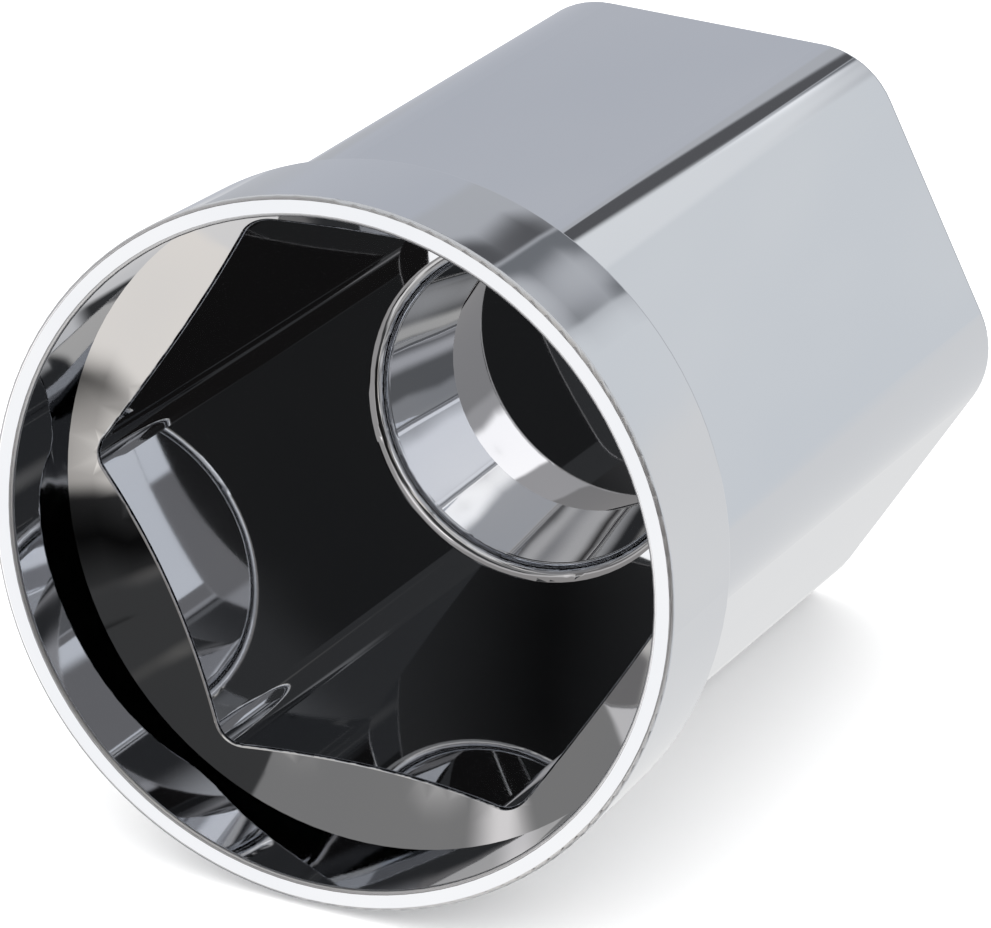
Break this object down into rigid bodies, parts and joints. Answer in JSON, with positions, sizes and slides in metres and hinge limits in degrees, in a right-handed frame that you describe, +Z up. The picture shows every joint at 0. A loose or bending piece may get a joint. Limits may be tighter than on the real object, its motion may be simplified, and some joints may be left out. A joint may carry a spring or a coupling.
{
  "type": "wheel nut cover cap",
  "caption": "Chromed push-on cover cap for a wheel nut: hexagonal body with a closed end and a round collar around its open mouth.",
  "frame": {"origin": "on the ground, below the middle of the cap", "axes": "+Z up; the mouth faces -Y and is raised about 3.9 degrees, because the cap lies on one flat of its hexagon and on its wider collar; +X to the right when looking into the mouth"},
  "size_m": [0.0438, 0.0584, 0.044],
  "materials": {
    "chrome_plating": "bright mirror chrome plating over moulded plastic, inside and out"
  },
  "bodies": {
    "root": {"cap_body": "chrome_plating"}
  },
  "joints": []
}
